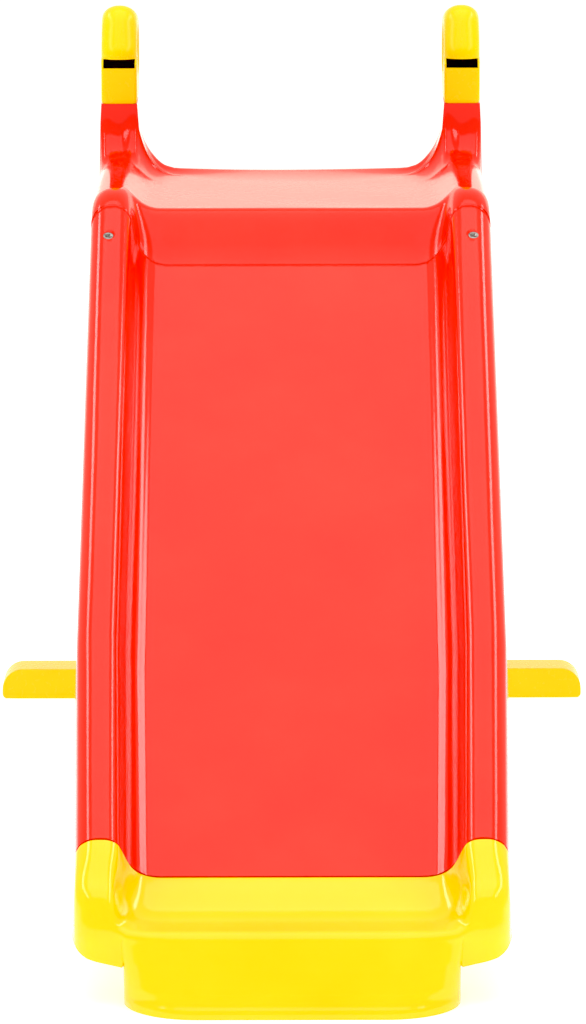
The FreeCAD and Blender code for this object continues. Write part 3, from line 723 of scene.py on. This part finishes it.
def pod_bottom(x):
    """Height of a rail end's lower edge: a gentle slope with a rounded outer corner."""
    slope = mix(POD_INNER_EDGE, POD_OUTER_EDGE, min((x - APRON_HALF) / POD_WIDTH, 1))
    past = min(max(x - POD_UNDER_START, 0), POD_UNDER_ROUND)
    return slope + POD_UNDER_ROUND - math.sqrt(POD_UNDER_ROUND ** 2 - past ** 2)


def flush_lift(past):
    """The exit rises level with the chute just past the seam, then runs into its own shape."""
    return UNDER_LAP * smooth(past, 0.0, SEAM_STEP) * (1 - smooth(past, 0.004, 0.050))


def exit_rows():
    count = 96
    path = [(abs(x), above) for x, above in offset_outline(narrowed(CHANNEL_PATH, TAPER), UNDER_LAP)]
    (base, drop), (outer, height), (inner, _), (foot, floor_level) = path[:4]
    rounds = [BED_ROUND + UNDER_LAP, RAIL_ROUNDS[1] - UNDER_LAP, RAIL_ROUNDS[0] - UNDER_LAP]
    section = section_across(foot, inner, outer, base, height - floor_level, drop - floor_level, rounds)
    rows = []
    for step, (deck, rail, side) in enumerate(zip(*exit_profiles(count))):
        share = step / (count - 1)
        row = spread(deck, rail, side, section)
        below = 1 - smooth(deck.y, 0.058, APRON_EDGE + 0.001)
        for index, point in enumerate(row):
            past = -(point - BED_START).dot(UPHILL) - 0.0005
            wide = smooth(past, 0.0, SEAM_STEP) * smooth(point.x, POD_START, 0.184)
            inward = math.sin(math.pi * smooth(point.x, foot - 0.012, inner + 0.012))
            shift = UNDER_LAP * wide - flush_lift(past) * inward
            lift = BED_NORMAL * flush_lift(past) * (1 - smooth(point.x, 0.172, 0.186))
            point += lift + Vector((shift, 0, 0))
            outward = max(index - CREST, 0) / (len(row) - 1 - CREST)
            if point.x <= APRON_HALF:
                front = deck.x + corner_back(point.x, point.z)
            else:
                front = rail.x
                hang = pod_bottom(point.x) - SKIRT_LEVEL
                point.z += hang * smooth(share, 0.85, 1.0) * below * (1 - outward)
            point.y = mix(point.y, max(front, point.y) if point.x > outer - 0.004 else front, below)
            point.y += pod_corner_back(point.x) * smooth(share, 0.45, 0.9)
        rows.append(row)
    return rows


def exit_piece():
    bm = bmesh.new()
    rows = exit_rows()
    made = grid(bm, [both_halves(row) for row in rows])
    apron_front = [(0.0195, SKIRT_LEVEL), (0.0075, 0.0195), (0.0050, 0.0115), (0.0005, 0.0065), (0.0, 0.0)]
    low = profile(yz(apron_front), [0.010, 0.006, 0.002], 22)
    inside = [vert for vert in made[-1] if abs(vert.co.x) <= APRON_HALF]
    apron = [inside]
    for point in low[1:]:
        row = []
        for vert in inside:
            x = vert.co.x
            y = vert.co.y - corner_back(x, vert.co.z) + point.x - low[0].x + corner_back(x, point.y)
            row.append(bm.verts.new((x, y, point.y)))
        for i in range(len(row) - 1):
            bm.faces.new((apron[-1][i], apron[-1][i + 1], row[i + 1], row[i]))
        apron.append(row)
    for end in (0, -1):
        side_wall(bm, [row[end] for row in apron])
    foot_flange(bm, apron[-1])
    piece = new_piece("exit", finished_mesh("exit", bm), "yellow_plastic", YELLOW, "exit_section")
    shell(piece)


def side_wall(bm, column):
    """The apron's side wall runs back from its front corner, and rises inside the rail end."""
    previous = column
    steps = 8
    top = column[0].co.z
    for step in range(1, steps + 1):
        share = step / steps
        row = []
        for vert in column:
            lift = (vert.co.z / top) * 0.030 * smooth(share, 0.0, 0.6)
            row.append(bm.verts.new((vert.co.x, mix(vert.co.y, APRON_BACK, share), vert.co.z + lift)))
        for i in range(len(row) - 1):
            bm.faces.new((previous[i], previous[i + 1], row[i + 1], row[i]))
        previous = row


def foot_flange(bm, edge):
    """The flat flange on the floor inside the apron's front."""
    row = [bm.verts.new(vert.co + Vector((0, 0.012, 0))) for vert in edge]
    for i in range(len(row) - 1):
        bm.faces.new((edge[i], edge[i + 1], row[i + 1], row[i]))


# ---------------------------------------------------------------- handles

def handle(side):
    """A grip round the hand hole, with a squarer upright below its slot."""
    bottom = HORN_TOP
    front, back, top = handle_low.y, handle_high.y, handle_high.z
    outer = rounded(
        [(front + 0.06, bottom), (front, bottom), (front, insert_low.z + 0.016), (front + 0.022, top),
         (back - 0.016, top - 0.012), (back, 0.698), (front + 0.079, bottom + 0.006), (front + 0.06, bottom)],
        [0.0008, 0.022, 0.022, 0.024, 0.024, 0.010],
        [6, 22, 8, 20, 14, 14, 6], [4, 14, 14, 14, 14, 6])
    inner_low, inner_high = 0.687, 0.727
    hole_front, hole_back = front + 0.031, front + 0.093
    middle = (hole_front + hole_back) / 2
    inner = rounded(
        [(middle, inner_low), (hole_front, inner_low), (hole_front, inner_high), (hole_back, inner_high),
         (hole_back, inner_low), (middle, inner_low)],
        [0.018] * 4, [8, 8, 10, 8, 8], [12, 12, 12, 12])
    count = 160
    outer, inner = resampled(outer, count + 1)[:-1], resampled(inner, count + 1)[:-1]
    half = (HORN_OUTER - HORN_INNER) / 2
    bm = bmesh.new()
    rows = []
    ring = 40
    for a, b in zip(outer, inner):
        square = 1 - smooth(a.y, insert_low.z + 0.004, insert_low.z + 0.0052) if a.x < front + 0.03 else 0
        base = 1 - smooth(a.y, bottom + 0.004, bottom + 0.030)
        power = mix(2.1, 12.0, max(square, base))
        row = []
        for step in range(ring):
            turn = 2 * math.pi * step / ring
            c, s = math.cos(turn), math.sin(turn)
            across = math.copysign(abs(s) ** (2 / power), s) * half
            reach = 0.5 + 0.5 * math.copysign(abs(c) ** (2 / power), c)
            point = b.lerp(a, reach)
            row.append(Vector((side * (HORN_CENTRE + across), point.x, point.y)))
        rows.append(row)
    rows.append(rows[0])
    grid(bm, rows, closed=True)
    name = "handle_grip_right" if side > 0 else "handle_grip_left"
    node = "handle_right" if side > 0 else "handle_left"
    # The handle takes the darker yellow copy: painted shade.
    piece = new_piece(name, finished_mesh(name, bm), "yellow_plastic", SHADED_YELLOW, node)
    cut(piece, slot_cutter(side))
    for face in piece.data.polygons:
        face.use_smooth = True
    soften(piece, 0.0005)


def slot_cutter(side):
    """The slot at the front of a handle, which its black insert, a painted shadow, fills at the back."""
    bm = bmesh.new()
    low = Vector((insert_low.x - GAP, insert_low.y - 0.02, insert_low.z - GAP))
    high = Vector((insert_high.x + GAP, insert_high.y, insert_high.z + GAP))
    bmesh.ops.create_cube(bm, size=1)
    for vert in bm.verts:
        share = vert.co + Vector((0.5, 0.5, 0.5))
        x, y, z = (mix(low[axis], high[axis], share[axis]) for axis in range(3))
        vert.co = Vector((side * x, y, z))
    mesh = finished_mesh("slot", bm)
    cutter = bpy.data.objects.new("slot", mesh)
    bpy.context.scene.collection.objects.link(cutter)
    return cutter


# ---------------------------------------------------------------- ladder

POST_DEPTH = 0.0274
PANEL_DEPTH = 0.0012        # of the shallow panel down each post
RIB_PITCH = 0.009
RIB_DEPTH = 0.0014
TREAD_ROUND = 0.009


def foot_bar():
    """The bar on the floor: large rounds at its upper outer corners, soft edges, open underneath."""
    low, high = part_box("foot_bar")
    corners = [(0, 0), (high.x, 0), (high.x, high.z), (low.x, high.z), (low.x, 0), (0, 0)]
    outline = rounded(corners, [0.005, 0.022, 0.022, 0.005], [30, 3, 60, 3, 30], [5, 14, 14, 5])[:-1]
    bm = bmesh.new()
    made = grid(bm, [[Vector((x, y, z)) for x, z in outline] for y in (low.y, high.y)], closed=True)
    ends = [bm.faces.new(row) for row in made]
    rim = [edge for face in ends for edge in face.edges if edge.verts[0].co.z + edge.verts[1].co.z > 0.02]
    bmesh.ops.bevel(bm, geom=rim, offset=0.007, segments=5, profile=0.5, affect="EDGES")
    under = [face for face in bm.faces if all(vert.co.z < 0.0001 for vert in face.verts)]
    bmesh.ops.delete(bm, geom=under, context="FACES")
    # The floor bar takes the darker yellow copy: painted shade.
    piece = new_piece("floor_bar", finished_mesh("floor_bar", bm), "yellow_plastic", SHADED_YELLOW, "foot_bar")
    shell(piece)


def ladder_side(side):
    """A leaning post with soft edges and a shallow panel down its outer face."""
    name = "ladder_side_right" if side > 0 else "ladder_side_left"
    low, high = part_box(name)
    inner, outer = (low.x, high.x) if side > 0 else (high.x, low.x)
    depth = POST_DEPTH
    foot_y, top_y = high.y - depth, low.y
    bm = bmesh.new()
    rows = []
    steps = 60
    for step in range(steps + 1):
        share = step / steps
        y, z = mix(foot_y, top_y, share), mix(low.z, high.z, share)
        outline = rounded(
            [(inner + (outer - inner) / 2, 0), (inner, 0), (inner, depth), (outer, depth), (outer, 0),
             (inner + (outer - inner) / 2, 0)],
            [0.004] * 4, [4, 6, 6, 6, 4], [4, 4, 4, 4])
        row = []
        for x, back in outline[:-1]:
            panel = smooth(back, 0.006, 0.008) * (1 - smooth(back, depth - 0.008, depth - 0.006))
            panel *= smooth(share, 0.05, 0.06) * (1 - smooth(share, 0.80, 0.81))
            sink = PANEL_DEPTH * panel if abs(x - outer) < 0.0001 else 0
            row.append(Vector((x - math.copysign(sink, outer), y + back, z)))
        rows.append(row)
    made = grid(bm, rows, closed=True)
    bm.faces.new(made[0])
    bm.faces.new(made[-1])
    piece = new_piece(name.replace("side", "post"), finished_mesh(name, bm), "yellow_plastic", YELLOW, name)
    soften(piece, 0.0008)


def tread(node):
    """A step with two rounded edges, grip ribs along its top, and closed ends."""
    low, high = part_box(node)
    outline = rounded([(low.y, low.z), (low.y, high.z), (high.y, high.z), (high.y, low.z)],
                      [TREAD_ROUND, TREAD_ROUND], [6, 120, 6], [8, 8])
    rows = []
    for step in range(25):
        x = mix(low.x, high.x, step / 24)
        row = []
        for y, z in outline:
            inside = smooth(y, low.y + 0.014, low.y + 0.016) * (1 - smooth(y, high.y - 0.016, high.y - 0.014))
            inside *= smooth(x, low.x + 0.008, low.x + 0.016)
            inside *= 1 - smooth(x, high.x - 0.016, high.x - 0.008)
            wave = 0.5 + 0.5 * math.cos((y - low.y) / RIB_PITCH * 2 * math.pi)
            sink = RIB_DEPTH * inside * smooth(wave, 0.35, 0.65) if z > high.z - 0.0005 else 0
            row.append(Vector((x, y, z - sink)))
        rows.append(row)
    bm = bmesh.new()
    made = grid(bm, rows)
    for row in (made[0], made[-1]):
        bm.faces.new(row)
    piece = new_piece(node.replace("tread", "step"), finished_mesh(node, bm), "yellow_plastic", YELLOW, node)
    shell(piece)


# ---------------------------------------------------------------- studio

def floor():
    bm = bmesh.new()
    bmesh.ops.create_grid(bm, x_segments=4, y_segments=4, size=40)
    mesh = finished_mesh("floor", bm)
    stage = bpy.data.objects.new("floor", mesh)
    bpy.context.scene.collection.objects.link(stage)
    material = bpy.data.materials.new("studio_floor")
    material.use_nodes = True
    shader = material.node_tree.nodes["Principled BSDF"]
    shader.inputs["Base Color"].default_value = (0.92, 0.92, 0.92, 1)
    shader.inputs["Roughness"].default_value = 0.9
    shader.inputs["Specular IOR Level"].default_value = 0.1
    shader.inputs["Emission Color"].default_value = (1, 1, 1, 1)
    shader.inputs["Emission Strength"].default_value = 0.5
    mesh.materials.append(material)


def softbox(name, place, aim, size, glow, tint=(1.0, 1.0, 1.0)):
    """A soft panel; glow is how bright its face is."""
    data = bpy.data.lights.new(name, "AREA")
    data.shape = "RECTANGLE"
    data.size, data.size_y = size
    data.color = tint
    data.energy = glow * math.pi * size[0] * size[1]
    lamp = bpy.data.objects.new(name, data)
    lamp.location = place
    lamp.rotation_euler = (Vector(aim) - Vector(place)).to_track_quat("-Z", "Y").to_euler()
    bpy.context.scene.collection.objects.link(lamp)


def studio():
    floor()
    world = bpy.data.worlds.new("studio")
    world.use_nodes = True
    background = world.node_tree.nodes["Background"]
    background.inputs["Color"].default_value = (1.0, 0.95, 0.84, 1)
    background.inputs["Strength"].default_value = 0.68
    bpy.context.scene.world = world
    softbox("overhead", (0, -0.55, 3.0), (0, -0.55, 0), (3.0, 3.5), 1.2)
    softbox("behind", (0, 4.5, 0.9), (0, 0, 0.6), (6.0, 1.7), 0.55, (1.0, 0.94, 0.78))
    for side in (-1, 1):
        softbox("strip", (side * 1.9, 0, 2.2), (0, 0, 0.35), (3.5, 0.36), 5)


def camera():
    """A long lens in front of the exit, a little above the deck, looking slightly down."""
    distance, height = 5.166, 1.4026
    pitch, roll = math.radians(10.5), math.radians(-0.11)
    data = bpy.data.cameras.new("camera")
    data.sensor_width = 36
    data.lens = 217.8
    data.shift_x = 0.0016
    data.clip_end = 200
    view = bpy.data.objects.new("camera", data)
    view.location = (0, LIP - distance, height)
    aim = Vector((0, math.cos(pitch), -math.sin(pitch)))
    turn = aim.to_track_quat("-Z", "Y").to_matrix() @ Matrix.Rotation(roll, 3, "Z")
    view.rotation_euler = turn.to_euler()
    bpy.context.scene.collection.objects.link(view)
    bpy.context.scene.camera = view


view = bpy.context.scene.view_settings
view.view_transform = "Standard"
view.use_curve_mapping = True
view.curve_mapping.black_level = (0.02, 0.02, 0.02)
view.curve_mapping.update()
camera()
studio()
chute()
flat_screws("rail_screws", [rail_screw(side) for side in (-1, 1)], SCREW_LENGTH)
platform()
exit_piece()
foot_bar()
for hand in (-1, 1):
    handle(hand)
    ladder_side(hand)
for tread_node in ("tread_lower", "tread_middle", "tread_upper"):
    tread(tread_node)

# The black_plastic slot takes the near-black painted shadow for the handle slots.
FINISHES = {"zinc_steel": ZINC, "black_plastic": SLOT_SHADE_BLACK, "yellow_plastic": YELLOW, "red_plastic": RED}
for entry in frame["record"]["subparts"]:
    for material_slot in frame["nodes"][entry["node"]].material_slots:
        material_slot.material = FINISHES[entry["material_slot"]]
